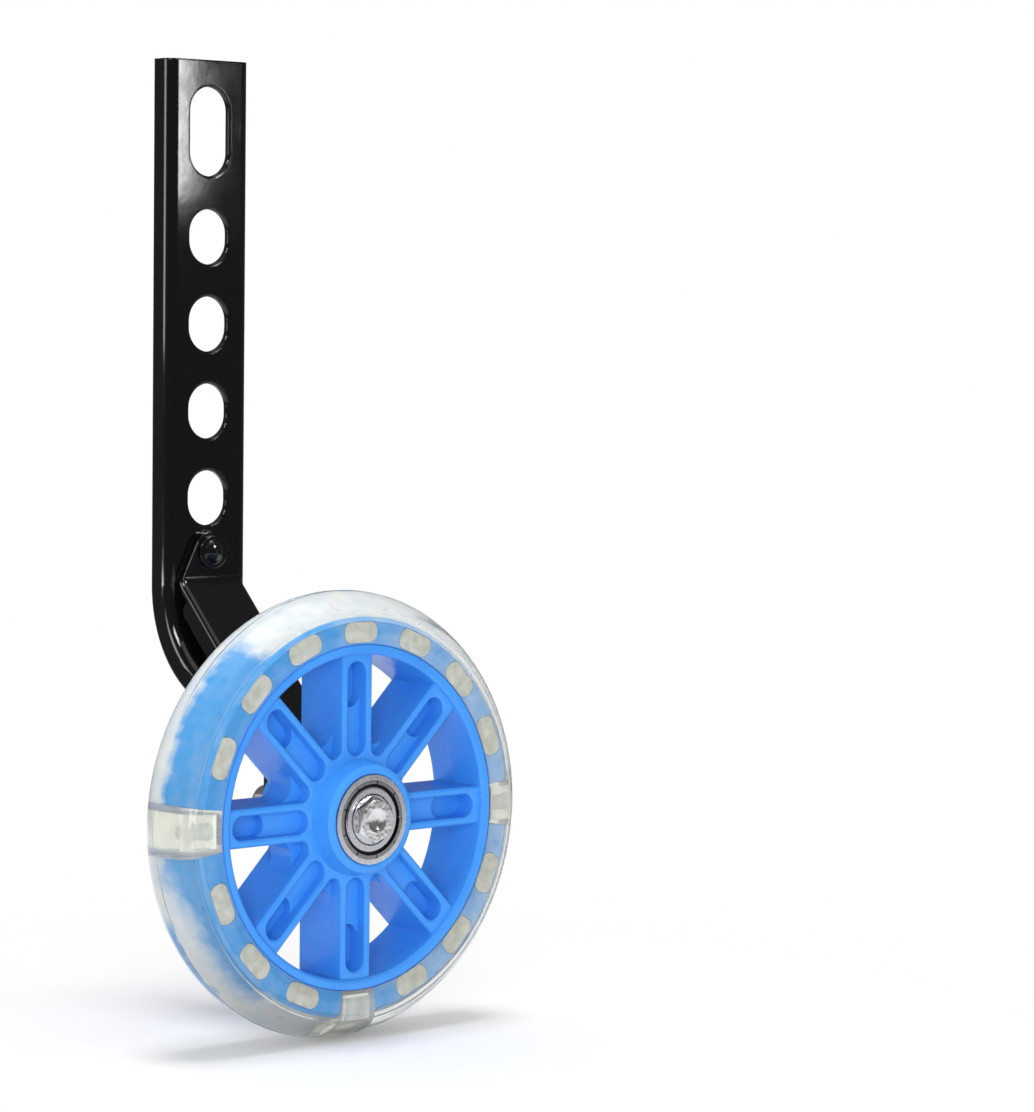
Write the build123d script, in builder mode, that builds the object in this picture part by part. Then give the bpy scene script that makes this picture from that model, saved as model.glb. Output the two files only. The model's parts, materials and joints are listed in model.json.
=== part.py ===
"""Bicycle training wheel: a slotted bracket and its brace carry a flashing wheel on two ball bearings.

The origin is the middle of the four short slots, on the face of the bracket that lies against the bicycle.
+Z is up, -Y points away from the bicycle (outboard) and X runs along the way the bicycle travels.
"""
import math
import os

from build123d import *

os.makedirs("parts", exist_ok=True)

# Bracket arm, pressed from steel sheet into a channel that opens towards the bicycle
sheet = 2.0
web_width = 25.6
flange_depth = 6.5
press_radius = 2.6
slot_width = 12.2
short_slot = 14.0
short_slot_count = 4
slot_pitch = 22.1
long_slot = 22.6
long_slot_rise = 26.6
top_margin = 18.0
slot_bevel = 0.4
sweep_start = 55.3
sweep_radius = 23.5
sweep_angle = 61.0
channel_run = 7.0
arm_fold_radius = 8.0
tab_width = 13.0

# Brace, a shallow channel riveted under the last slot and clamped on the axle with the arm
brace_sheet = 2.0
brace_width = 19.5
brace_flange = 5.5
brace_edge_radius = 1.2
brace_fold_radius = 4.0
brace_fold_gap = 7.4
brace_flange_gap = 1.5
brace_flange_run = 22.0
brace_flange_fade = 10.0
brace_neck_top = 24.5
brace_neck_bottom = 11.7

# Rivet
rivet_drop = 13.7
rivet_radius = 2.5
rivet_fit = 0.1
rivet_flange_radius = 4.3
rivet_flange_height = 0.7
rivet_dome_radius = 3.0
rivet_dome_height = 1.4
rivet_tail_height = 1.3
rivet_eye_rim = 1.1

# Where the wheel hangs below and outboard of the slots
axle_drop = 108.7
wheel_offset = 54.0

# Axle hardware
axle_radius = 3.0
axle_fit = 0.2
head_across_flats = 10.0
head_height = 2.0
head_crown = 0.8
head_crown_height = 0.7
head_dish_radius = 2.9
head_dish_depth = 0.5
sleeve_shoulder_radius = 5.2
magnet_radius = 8.0
magnet_length = 8.0
spacer_radius = 5.8
spacer_length = 2.25
washer_radius = 6.0
washer_height = 1.2
nut_height = 4.6
nut_chamfer = 0.4
nut_chamfer_height = 0.7
nut_collar_radius = 4.5
nut_collar_height = 1.6
insert_radius = 3.9
insert_height = 1.3
bolt_overhang = 1.5

# Ball bearings, 8 x 22 x 7
bearing_bore = 4.0
bearing_radius = 11.0
bearing_width = 7.0
ball_radius = 1.984
ball_count = 7
ball_pitch_radius = 7.55
ball_clearance = 0.05
inner_land_radius = 6.05
outer_land_radius = 9.05
shield_radius = 9.7
shield_sheet = 0.35
shield_gap = 0.3
shield_step_radius = 7.35
shield_step = 0.4
clip_wire = 0.45
clip_inner_radius = 8.75
clip_opening_angle = 3.0
clip_notch_count = 9
clip_notch_width = 0.45
clip_notch_depth = 0.3
cage_wall = 1.6
cage_mouth = 1.2
cage_back = 2.5

# Wheel: the tyre's radius and depth set the hub's rim, and its ring and modules keep their cover of plastic
tyre_radius = 55.2
tyre_depth = 12.7
shoulder_rise = 3.5
side_bulge = 0.7
hub_width = 28.0
rim_width = 19.0
rim_wall = 2.5
rim_draft = 0.5
lip_bevel = 0.6
spoke_count = 8
spoke_width = 9.4
spoke_setback = 1.2
web_thickness = 8.0
lobe_radius = 2.3
gap_radius = 4.1
edge_bevel = 0.5
pocket_width = 5.8
pocket_start = 15.0
pocket_gap = 4.3
pocket_depth = 3.2
step_length = 11.4
step_depth = 6.0
boss_wall = 2.1
boss_margin = 0.6
boss_bevel = 0.8
bore_lip = 2.0
bore_bevel = 0.5
anchor_cover = 6.2
anchor_inset = 0.8
anchor_bevel = 0.9
anchor_count = 16
window_length = 10.4
window_foot = 0.4
window_border = 1.1
window_straight = 0.6

# Flash modules set into the tyre
module_places = {"right": 0.0, "left": 180.0, "bottom": 270.0}
module_length = 11.2
module_inset = 1.0
module_cover = 2.8
module_corner = 4.0
module_wall = 1.3
module_roof = 2.4
board_thickness = 0.8
board_margin = 0.3
coil_place = 4.6
coil_flange_radius = 2.2
coil_wire_radius = 1.9
coil_clearance = 0.4
coil_flange = 0.7
lamp_radius = 1.4
lamp_height = 2.4
lamp_flat = 0.15
lamp_spacing = 5.0

# Frames of reference
axle_height = -axle_drop
wheel_centre = (0, -wheel_offset, axle_height)
axle = Axis(wheel_centre, (0, -1, 0))
wheel_face = Plane(origin=wheel_centre, x_dir=(1, 0, 0), z_dir=(0, -1, 0))
side_view = Plane.YZ
front_view = Plane.XZ
far = 4 * web_width + axle_drop


def section_at(angle):
    """The half plane through the axle at an angle round the wheel: x is the radius and y runs outboard."""
    turned_by = math.radians(angle)
    across = (math.cos(turned_by), 0, math.sin(turned_by))
    return Plane(origin=wheel_centre, x_dir=across, z_dir=(across[2], 0, -across[0]))


def seat_at(angle, radius):
    """A flat seat at an angle and radius round the wheel: x runs outboard and z away from the axle."""
    turned_by = math.radians(angle)
    out = (math.cos(turned_by), 0, math.sin(turned_by))
    place = (radius * out[0], -wheel_offset, axle_height + radius * out[2])
    return Plane(origin=place, x_dir=(0, -1, 0), z_dir=out)


def write(piece, name):
    """Labels a finished piece and writes it."""
    piece.part.label = name
    export_step(piece.part, f"parts/{name}.step")


def turned(name, outline):
    """A piece turned about the axle from corners (radius, distance outboard of the wheel's middle)."""
    with BuildPart() as piece:
        with BuildSketch(axle_section):
            with BuildLine():
                Polyline(*outline, close=True)
            make_face()
        revolve(axis=axle)
    write(piece, name)
    return piece


def ring_outline(inner, outer, start, end):
    """Corners of a plain ring from one axial place to another."""
    return [(inner, start), (outer, start), (outer, end), (inner, end)]


# Places worked out from the sizes above
axle_section = section_at(0)
half_hub = hub_width / 2
half_rim = rim_width / 2
half_tyre = half_rim + side_bulge
half_anchor = half_rim - anchor_inset
half_module = half_rim - module_inset
spoke_face = half_rim - spoke_setback
rim_radius = tyre_radius - tyre_depth
tyre_shoulder = rim_radius + shoulder_rise
anchor_radius = tyre_radius - anchor_cover
module_radius = tyre_radius - module_cover
window_height = anchor_radius - window_border - rim_radius - window_foot
window_centre = rim_radius + window_foot + window_height / 2
window_corner = (window_height - window_straight) / 2
pocket_end = rim_radius - pocket_gap
step_start = pocket_end - step_length
slot_heights = [(i - (short_slot_count - 1) / 2) * slot_pitch for i in range(short_slot_count)]
long_slot_height = slot_heights[-1] + long_slot_rise
top_height = long_slot_height + top_margin
rivet_height = slot_heights[0] - rivet_drop
brace_tab_face = -wheel_offset + half_hub + spacer_length
arm_tab_face = brace_tab_face + brace_sheet
arm_tab_back = arm_tab_face + sheet

# Bracket arm: the line of its outboard face, seen from the side
turn = math.radians(sweep_angle)
face_line = -sheet
sweep_end = (
    face_line - sweep_radius * (1 - math.cos(turn)),
    -sweep_start - sweep_radius * math.sin(turn),
)
run_way = (-math.sin(turn), -math.cos(turn))
channel_end = (sweep_end[0] + channel_run * run_way[0], sweep_end[1] + channel_run * run_way[1])
fold_run = (arm_tab_face - sweep_end[0]) / run_way[0]
arm_fold = (arm_tab_face, sweep_end[1] + fold_run * run_way[1])
flat_web = web_width - 2 * press_radius

with BuildPart() as bracket_arm:
    with BuildLine(side_view) as channel_path:
        Line((face_line, top_height), (face_line, -sweep_start))
        CenterArc((face_line - sweep_radius, -sweep_start), sweep_radius, 0, -sweep_angle)
        Line(sweep_end, channel_end)
    with BuildSketch(Plane.XY.offset(top_height)):
        with BuildLine():
            FilletPolyline(
                (-web_width / 2, face_line + flange_depth),
                (-web_width / 2, face_line),
                (web_width / 2, face_line),
                (web_width / 2, face_line + flange_depth),
                radius=press_radius,
            )
            offset(amount=sheet, side=Side.LEFT)
        make_face()
    sweep(path=channel_path.wires()[0])
    # flat end of the arm, folded down to the axle and narrowed to a tab
    with BuildSketch(side_view):
        with BuildLine():
            FilletPolyline(
                channel_end,
                arm_fold,
                (arm_tab_face, axle_height - tab_width / 2),
                radius=arm_fold_radius,
            )
            offset(amount=sheet, side=Side.LEFT)
        make_face()
    extrude(amount=flat_web / 2, both=True)
    with BuildSketch(front_view):
        with BuildLine():
            Polyline(
                (-web_width, top_height),
                (-web_width, channel_end[1] - sheet),
                (-flat_web / 2, channel_end[1] - sheet),
                (-tab_width / 2, axle_height + brace_neck_bottom),
                (-tab_width / 2, axle_height),
            )
            ThreePointArc(
                (-tab_width / 2, axle_height),
                (0, axle_height - tab_width / 2),
                (tab_width / 2, axle_height),
            )
            Polyline(
                (tab_width / 2, axle_height),
                (tab_width / 2, axle_height + brace_neck_bottom),
                (flat_web / 2, channel_end[1] - sheet),
                (web_width, channel_end[1] - sheet),
                (web_width, top_height),
                (-web_width, top_height),
            )
        make_face()
    extrude(amount=far, both=True, mode=Mode.INTERSECT)
    # slots with broken edges, then the rivet hole and the axle hole
    with BuildSketch(front_view):
        with Locations(*[(0, height) for height in slot_heights]):
            SlotOverall(short_slot, slot_width, rotation=90)
        with Locations((0, long_slot_height)):
            SlotOverall(long_slot, slot_width, rotation=90)
    slot_cut = extrude(amount=far, both=True, mode=Mode.PRIVATE)
    before = bracket_arm.edges()
    add(slot_cut, mode=Mode.SUBTRACT)
    new_edges = bracket_arm.edges() - before
    slot_edges = new_edges.filter_by(Axis.Y, reverse=True)
    chamfer(slot_edges, slot_bevel)
    with BuildSketch(front_view):
        with Locations((0, rivet_height)):
            Circle(rivet_radius + rivet_fit)
        with Locations((0, axle_height)):
            Circle(axle_radius + axle_fit)
    extrude(amount=far, both=True, mode=Mode.SUBTRACT)
write(bracket_arm, "bracket_arm")

# Brace: a strip folded at both ends, with its long sides turned back as flanges
brace_face = face_line - brace_sheet
brace_top = rivet_height + rivet_flange_radius + rivet_eye_rim
brace_fold = (brace_face, rivet_height - brace_fold_gap)
brace_drop = brace_face - brace_tab_face
brace_low = (brace_tab_face, brace_fold[1] - brace_drop)
down = math.sqrt(0.5)


def along_brace(run, depth):
    """A point seen from the side, so far below the upper fold and so deep behind the outboard face."""
    return (brace_fold[0] - run * down + depth * down, brace_fold[1] - run * down - depth * down)


flange_cut = face_line - brace_flange_gap
flange_lead = brace_fold[0] - flange_cut

with BuildPart() as brace_strut:
    with BuildSketch(side_view):
        with BuildLine():
            FilletPolyline(
                (brace_face, brace_top),
                brace_fold,
                brace_low,
                (brace_tab_face, axle_height - tab_width / 2),
                radius=brace_fold_radius,
            )
            offset(amount=brace_sheet, side=Side.LEFT)
        make_face()
    extrude(amount=brace_width / 2, both=True)
    with BuildSketch(side_view.offset(brace_width / 2 - brace_sheet)):
        with BuildLine():
            Polyline(
                along_brace((brace_flange_gap + brace_sheet) / down, brace_sheet / 2),
                along_brace(flange_lead / down + brace_flange, brace_flange),
                along_brace(brace_flange_run, brace_flange),
                along_brace(brace_flange_run + brace_flange_fade, brace_sheet / 2),
                close=True,
            )
        make_face()
    extrude(amount=brace_sheet)
    mirror(about=side_view)
    slope_edges = brace_strut.edges().filter_by(Axis((0, 0, 0), (0, 1, 1)))
    fillet(slope_edges.sort_by(Axis((0, 0, 0), (0, -1, 1)))[-2:], brace_edge_radius)
    # plan shape: a rounded eye at the rivet, then full width, then a tab at the axle
    with BuildSketch(front_view):
        with Locations((0, rivet_height)):
            Circle(rivet_flange_radius + rivet_eye_rim)
        with BuildLine():
            Line((-brace_width / 2, brace_fold[1]), (brace_width / 2, brace_fold[1]))
        make_hull()
        with BuildLine():
            Polyline(
                (-brace_width / 2, brace_fold[1]),
                (-brace_width / 2, axle_height + brace_neck_top),
                (-tab_width / 2, axle_height + brace_neck_bottom),
                (-tab_width / 2, axle_height),
            )
            ThreePointArc(
                (-tab_width / 2, axle_height),
                (0, axle_height - tab_width / 2),
                (tab_width / 2, axle_height),
            )
            Polyline(
                (tab_width / 2, axle_height),
                (tab_width / 2, axle_height + brace_neck_bottom),
                (brace_width / 2, axle_height + brace_neck_top),
                (brace_width / 2, brace_fold[1]),
                (-brace_width / 2, brace_fold[1]),
            )
        make_face()
    extrude(amount=far, both=True, mode=Mode.INTERSECT)
    with BuildSketch(front_view):
        with Locations((0, rivet_height)):
            Circle(rivet_radius + rivet_fit)
        with Locations((0, axle_height)):
            Circle(axle_radius + axle_fit)
    extrude(amount=far, both=True, mode=Mode.SUBTRACT)
write(brace_strut, "brace_strut")

# Rivet through the brace and the arm, spun about its own axis
rivet_section = Plane(origin=(0, 0, rivet_height), x_dir=(1, 0, 0), z_dir=(0, 0, -1))
with BuildPart() as brace_rivet:
    with BuildSketch(rivet_section):
        with BuildLine():
            Polyline(
                (0, -rivet_tail_height),
                (rivet_flange_radius - rivet_tail_height / 2, -rivet_tail_height),
                (rivet_flange_radius, 0),
                (rivet_radius, 0),
                (rivet_radius, -brace_face),
                (rivet_flange_radius, -brace_face),
                (rivet_flange_radius, -brace_face + rivet_flange_height),
                (rivet_dome_radius, -brace_face + rivet_flange_height),
            )
            RadiusArc(
                (rivet_dome_radius, -brace_face + rivet_flange_height),
                (0, -brace_face + rivet_flange_height + rivet_dome_height),
                -(rivet_dome_radius**2 + rivet_dome_height**2) / (2 * rivet_dome_height),
            )
            Line(
                (0, -brace_face + rivet_flange_height + rivet_dome_height),
                (0, -rivet_tail_height),
            )
        make_face()
    revolve(axis=Axis((0, 0, rivet_height), (0, -1, 0)))
write(brace_rivet, "brace_rivet")

# Axle bolt: hexagon head outboard, shank through the wheel, brace and arm
stack_back = arm_tab_back + washer_height + nut_height + nut_collar_height
bolt_end = -(stack_back + bolt_overhang + wheel_offset)
hex_corner = head_across_flats / math.sqrt(3)
with BuildPart() as axle_bolt:
    with BuildSketch(wheel_face.offset(half_hub)):
        RegularPolygon(hex_corner, 6, rotation=30)
    extrude(amount=head_height)
    with BuildSketch(axle_section):
        with BuildLine():
            Polyline(
                (0, half_hub),
                (hex_corner, half_hub),
                (hex_corner, half_hub + head_height - head_crown_height),
                (hex_corner - head_crown, half_hub + head_height),
                (0, half_hub + head_height),
                close=True,
            )
        make_face()
    revolve(axis=axle, mode=Mode.INTERSECT)
    # dished top of the head
    with BuildSketch(axle_section):
        with BuildLine():
            Line((head_dish_radius, half_hub + head_height), (0, half_hub + head_height))
            Line((0, half_hub + head_height), (0, half_hub + head_height - head_dish_depth))
            RadiusArc(
                (0, half_hub + head_height - head_dish_depth),
                (head_dish_radius, half_hub + head_height),
                -(head_dish_radius**2 + head_dish_depth**2) / (2 * head_dish_depth),
            )
        make_face()
    revolve(axis=axle, mode=Mode.SUBTRACT)
    with BuildSketch(axle_section):
        with BuildLine():
            Polyline(*ring_outline(0, axle_radius, bolt_end, half_hub), close=True)
        make_face()
    revolve(axis=axle)
write(axle_bolt, "axle_bolt")

# Sleeve on the bolt: its ends carry the bearings and its shoulder keeps them apart
half_shoulder = half_hub - bearing_width
turned(
    "axle_sleeve",
    [
        (axle_radius + axle_fit, -half_hub),
        (bearing_bore, -half_hub),
        (bearing_bore, -half_shoulder),
        (sleeve_shoulder_radius, -half_shoulder),
        (sleeve_shoulder_radius, half_shoulder),
        (bearing_bore, half_shoulder),
        (bearing_bore, half_hub),
        (axle_radius + axle_fit, half_hub),
    ],
)
half_magnet = magnet_length / 2
turned("ring_magnet", ring_outline(sleeve_shoulder_radius, magnet_radius, -half_magnet, half_magnet))
spacer_back = -half_hub - spacer_length
turned("wheel_spacer", ring_outline(axle_radius + axle_fit, spacer_radius, spacer_back, -half_hub))

# Washer and lock nut on the bicycle side of the arm
washer_face = -(arm_tab_back + wheel_offset)
nut_face = washer_face - washer_height
collar_face = nut_face - nut_height
nut_back = collar_face - nut_collar_height
turned("nut_washer", ring_outline(axle_radius + axle_fit, washer_radius, nut_face, washer_face))
with BuildPart() as lock_nut:
    with BuildSketch(wheel_face.offset(collar_face)):
        RegularPolygon(hex_corner, 6, rotation=30)
    extrude(amount=nut_height)
    with BuildSketch(axle_section):
        with BuildLine():
            Polyline(
                (0, nut_face),
                (hex_corner - nut_chamfer, nut_face),
                (hex_corner, nut_face - nut_chamfer_height),
                (hex_corner, collar_face + nut_chamfer_height),
                (hex_corner - nut_chamfer, collar_face),
                (0, collar_face),
                close=True,
            )
        make_face()
    revolve(axis=axle, mode=Mode.INTERSECT)
    with BuildSketch(axle_section):
        with BuildLine():
            Polyline(*ring_outline(0, nut_collar_radius, nut_back, collar_face), close=True)
        make_face()
    revolve(axis=axle)
    with BuildSketch(axle_section):
        with BuildLine():
            Polyline(
                (0, nut_face),
                (axle_radius + axle_fit / 2, nut_face),
                (axle_radius + axle_fit / 2, nut_back + insert_height),
                (insert_radius, nut_back + insert_height),
                (insert_radius, nut_back),
                (0, nut_back),
                close=True,
            )
        make_face()
    revolve(axis=axle, mode=Mode.SUBTRACT)
write(lock_nut, "lock_nut")
turned("nut_insert", ring_outline(axle_radius, insert_radius, nut_back, nut_back + insert_height))


# Ball bearings
groove_radius = ball_radius + ball_clearance
shield_seat = clip_wire + shield_sheet
clip_middle = (clip_inner_radius + shield_radius) / 2


def bearing(side, middle):
    """The pieces of one bearing, centred at a distance outboard of the wheel's middle."""
    low = middle - bearing_width / 2
    high = middle + bearing_width / 2

    def race(name, outline):
        with BuildPart() as piece:
            with BuildSketch(axle_section):
                with BuildLine():
                    Polyline(*outline, close=True)
                make_face()
            revolve(axis=axle)
            with BuildSketch(axle_section):
                with Locations((ball_pitch_radius, middle)):
                    Circle(groove_radius)
            revolve(axis=axle, mode=Mode.SUBTRACT)
        write(piece, name)

    race(f"{side}_inner_race", ring_outline(bearing_bore, inner_land_radius, low, high))
    race(
        f"{side}_outer_race",
        [
            (bearing_radius, low),
            (bearing_radius, high),
            (shield_radius, high),
            (shield_radius, high - shield_seat),
            (outer_land_radius, high - shield_seat),
            (outer_land_radius, low + shield_seat),
            (shield_radius, low + shield_seat),
            (shield_radius, low),
        ],
    )
    ball_plane = wheel_face.offset(middle)
    with BuildPart(ball_plane) as balls:
        with PolarLocations(ball_pitch_radius, ball_count):
            Sphere(ball_radius)
    write(balls, f"{side}_balls")
    with BuildPart(ball_plane) as cage:
        with BuildSketch(ball_plane.offset(-cage_mouth)):
            Circle(ball_pitch_radius + cage_wall / 2)
            Circle(ball_pitch_radius - cage_wall / 2, mode=Mode.SUBTRACT)
        extrude(amount=cage_mouth + cage_back)
        with BuildSketch(ball_plane.offset(-cage_mouth)):
            with PolarLocations(ball_pitch_radius, ball_count):
                Circle(groove_radius)
        extrude(amount=cage_mouth + groove_radius, mode=Mode.SUBTRACT)
    write(cage, f"{side}_cage")
    shield_inner = inner_land_radius + shield_gap
    for place, seat, away in (("front", high - shield_seat, 1), ("rear", low + shield_seat, -1)):
        clip_seat = seat + away * shield_sheet
        clip_face = clip_seat + away * clip_wire
        turned(
            f"{side}_{place}_shield",
            [
                (shield_inner, seat + away * shield_step),
                (shield_step_radius, seat + away * shield_step),
                (shield_step_radius, seat),
                (shield_radius, seat),
                (shield_radius, clip_seat),
                (shield_step_radius + shield_sheet, clip_seat),
                (shield_step_radius + shield_sheet, clip_seat + away * shield_step),
                (shield_inner, clip_seat + away * shield_step),
            ],
        )
        with BuildPart() as clip:
            with BuildSketch(axle_section):
                with BuildLine():
                    Polyline(
                        *ring_outline(clip_inner_radius, shield_radius, clip_seat, clip_face),
                        close=True,
                    )
                make_face()
            revolve(axis=axle, revolution_arc=360 - clip_opening_angle)
            with BuildSketch(wheel_face.offset(clip_face)):
                for i in range(1, clip_notch_count):
                    with PolarLocations(clip_middle, 1, start_angle=i * 360 / clip_notch_count):
                        Rectangle(shield_radius - clip_inner_radius, clip_notch_width)
            extrude(amount=-away * clip_notch_depth, mode=Mode.SUBTRACT)
        write(clip, f"{side}_{place}_clip")


bearing_middle = half_hub - bearing_width / 2
bearing("outboard", bearing_middle)
bearing("inboard", -bearing_middle)

# Flash modules, set on the rim inside the tyre
module_arc = math.degrees(module_length / ((rim_radius + module_radius) / 2))
chamber_floor = rim_radius + module_wall
chamber_roof = module_radius - module_roof
chamber_width = 2 * (half_module - module_wall)
chamber_length = module_length - 2 * module_wall
board_top = chamber_floor + board_thickness
coil_length = chamber_roof - board_top - coil_clearance


def module_block(angle):
    """The outer shape of a module: a rounded section spun a short way about the axle."""
    with BuildPart() as block:
        with BuildSketch(section_at(angle - module_arc / 2)):
            with BuildLine():
                FilletPolyline(
                    (rim_radius, -half_module),
                    (module_radius, -half_module),
                    (module_radius, half_module),
                    (rim_radius, half_module),
                    radius=module_corner,
                )
                Line((rim_radius, half_module), (rim_radius, -half_module))
            make_face()
        revolve(axis=axle, revolution_arc=module_arc)
    return block.part


module_blocks = {place: module_block(angle) for place, angle in module_places.items()}

for place, angle in module_places.items():
    with BuildPart() as housing:
        add(module_blocks[place])
        with BuildSketch(seat_at(angle, chamber_floor)):
            Rectangle(chamber_width, chamber_length)
        extrude(amount=chamber_roof - chamber_floor, mode=Mode.SUBTRACT)
    write(housing, f"flash_housing_{place}")
    with BuildPart() as board:
        with BuildSketch(seat_at(angle, chamber_floor)):
            Rectangle(chamber_width - 2 * board_margin, chamber_length - 2 * board_margin)
        extrude(amount=board_thickness)
    write(board, f"flash_board_{place}")
    with BuildPart() as coil:
        with BuildSketch(seat_at(angle, board_top)):
            with Locations((coil_place, 0)):
                Circle(coil_flange_radius)
        extrude(amount=coil_flange)
        with BuildSketch(seat_at(angle, board_top + coil_flange)):
            with Locations((coil_place, 0)):
                Circle(coil_wire_radius)
        extrude(amount=coil_length - 2 * coil_flange)
        with BuildSketch(seat_at(angle, board_top + coil_length - coil_flange)):
            with Locations((coil_place, 0)):
                Circle(coil_flange_radius)
        extrude(amount=coil_flange)
    write(coil, f"flash_coil_{place}")
    with BuildPart() as lamp:
        with BuildSketch(seat_at(angle, board_top)):
            with Locations((coil_place - lamp_spacing, 0)):
                Circle(lamp_radius)
        extrude(amount=lamp_height)
        fillet(lamp.edges().sort_by_distance(wheel_centre)[-1], lamp_radius - lamp_flat)
    write(lamp, f"flash_lamp_{place}")

# Anchor ring: the outer part of the hub inside the tyre, with windows that the tyre's plastic flows through
window_angles = [i * 360 / anchor_count for i in range(anchor_count)]
anchor_root = rim_radius - rim_wall / 2
with BuildPart() as anchor:
    with BuildSketch(axle_section) as anchor_section:
        with BuildLine():
            Polyline(*ring_outline(anchor_root, anchor_radius, -half_anchor, half_anchor), close=True)
        make_face()
        chamfer(anchor_section.vertices().group_by(Axis.X)[-1], anchor_bevel)
    revolve(axis=axle)
    with BuildSketch(wheel_face):
        for angle in window_angles:
            if angle not in module_places.values():
                with PolarLocations(window_centre, 1, start_angle=angle):
                    RectangleRounded(window_height, window_length, window_corner)
        for angle in module_places.values():
            with BuildLine():
                PolarLine((0, 0), 2 * anchor_radius, angle - module_arc / 2)
                PolarLine((0, 0), 2 * anchor_radius, angle + module_arc / 2)
                CenterArc((0, 0), 2 * anchor_radius, angle - module_arc / 2, module_arc)
            make_face()
    extrude(amount=rim_width, both=True, mode=Mode.SUBTRACT)

# Moulded hub: one casting of boss, spokes, rim and anchor ring
half_gap_angle = 180 / spoke_count
plate_radius = rim_radius - rim_wall / 2
half_web = web_thickness / 2
boss_face_radius = bearing_radius + boss_wall
boss_root_radius = pocket_start - boss_margin
hub_middle = Vector(*wheel_centre)
face_limit = math.hypot(plate_radius - edge_bevel, spoke_face)


def gap_outline(inner_round):
    """The opening between two spokes, drawn along x: straight spoke sides that meet in a round end."""
    spread = math.radians(half_gap_angle)
    corner = spoke_width / 2 / math.sin(spread)
    with BuildSketch() as gap:
        with BuildLine():
            Polyline(
                (corner, 0),
                (corner + rim_radius * math.cos(spread), -rim_radius * math.sin(spread)),
                (corner + rim_radius * math.cos(spread), rim_radius * math.sin(spread)),
                close=True,
            )
        make_face()
        fillet(gap.vertices().sort_by(Axis.X)[0], inner_round)
        Circle(plate_radius, mode=Mode.INTERSECT)
    return gap.sketch


lobe = gap_outline(lobe_radius)
gap = gap_outline(gap_radius)

with BuildPart() as hub_core:
    with BuildSketch(wheel_face):
        Circle(plate_radius)
        with PolarLocations(0, spoke_count, start_angle=half_gap_angle):
            add(gap, mode=Mode.SUBTRACT)
    extrude(amount=spoke_face, both=True)
    for way in (1, -1):
        # shallow floor between the spokes, then the pocket and its deeper end in every spoke
        with BuildSketch(wheel_face.offset(way * half_web)):
            with PolarLocations(0, spoke_count, start_angle=half_gap_angle):
                add(lobe)
        extrude(amount=way * (spoke_face - half_web), mode=Mode.SUBTRACT)
        with BuildSketch(wheel_face.offset(way * spoke_face)):
            with PolarLocations((pocket_start + pocket_end) / 2, spoke_count):
                SlotOverall(pocket_end - pocket_start, pocket_width)
        extrude(amount=-way * pocket_depth, mode=Mode.SUBTRACT)
        with BuildSketch(wheel_face.offset(way * spoke_face)):
            with PolarLocations((step_start + pocket_end) / 2, spoke_count):
                SlotOverall(pocket_end - step_start, pocket_width)
        extrude(amount=-way * step_depth, mode=Mode.SUBTRACT)
        face_edges = hub_core.edges().group_by(axle)[-1 if way > 0 else 0]
        inner_edges = face_edges.filter_by(lambda edge: (edge @ 0.5 - hub_middle).length < face_limit)
        chamfer(inner_edges, edge_bevel)
    # rim with bevelled lips, its inside drafted from the middle, and the anchor ring
    with BuildSketch(axle_section) as rim_section:
        with BuildLine():
            Polyline(
                (rim_radius - rim_wall - rim_draft, 0),
                (rim_radius - rim_wall, half_rim),
                (rim_radius, half_rim),
                (rim_radius, -half_rim),
                (rim_radius - rim_wall, -half_rim),
                close=True,
            )
        make_face()
        lips = rim_section.vertices().filter_by(lambda v: v.X < rim_radius and abs(v.Y) > half_web)
        chamfer(lips, lip_bevel)
    revolve(axis=axle)
    add(anchor.part)
    # bearing boss on both sides, then the bore right through
    with BuildSketch(axle_section) as boss_section:
        with BuildLine():
            Polyline(
                (0, -half_hub),
                (boss_face_radius, -half_hub),
                (boss_root_radius, -spoke_face),
                (boss_root_radius, spoke_face),
                (boss_face_radius, half_hub),
                (0, half_hub),
                close=True,
            )
        make_face()
        boss_rims = boss_section.vertices().filter_by(lambda v: v.X > 0 and abs(v.Y) > half_rim)
        chamfer(boss_rims, boss_bevel)
    revolve(axis=axle)
    with BuildSketch(axle_section):
        with BuildLine():
            Polyline(
                (0, -half_hub),
                (bearing_radius + bore_bevel, -half_hub),
                (bearing_radius, -half_hub + bore_bevel),
                (bearing_radius, -half_shoulder),
                (bearing_radius - bore_lip, -half_shoulder),
                (bearing_radius - bore_lip, half_shoulder),
                (bearing_radius, half_shoulder),
                (bearing_radius, half_hub - bore_bevel),
                (bearing_radius + bore_bevel, half_hub),
                (0, half_hub),
                close=True,
            )
        make_face()
    revolve(axis=axle, mode=Mode.SUBTRACT)
write(hub_core, "hub_core")

# Tyre: clear plastic cast round the anchor ring and the modules
with BuildPart() as tyre:
    with BuildSketch(axle_section):
        with BuildLine():
            Polyline(
                (tyre_shoulder, -half_tyre),
                (rim_radius, -half_rim),
                (rim_radius, half_rim),
                (tyre_shoulder, half_tyre),
            )
            ThreePointArc((tyre_shoulder, half_tyre), (tyre_radius, 0), (tyre_shoulder, -half_tyre))
        make_face()
    revolve(axis=axle)
    add(anchor.part, mode=Mode.SUBTRACT)
    for block in module_blocks.values():
        add(block, mode=Mode.SUBTRACT)
write(tyre, "tyre")
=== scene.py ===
# %% [markdown]
# # A bicycle training wheel
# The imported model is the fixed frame: every steel and plastic piece stands where it is made to stand,
# and nothing below moves it. This lesson gives each piece its finish, models the one piece that only a
# mesh can carry well, the clear tyre, and takes the picture.

# %% Load the frame
import bpy
import json
import math
from mathutils import Matrix, Vector


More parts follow.
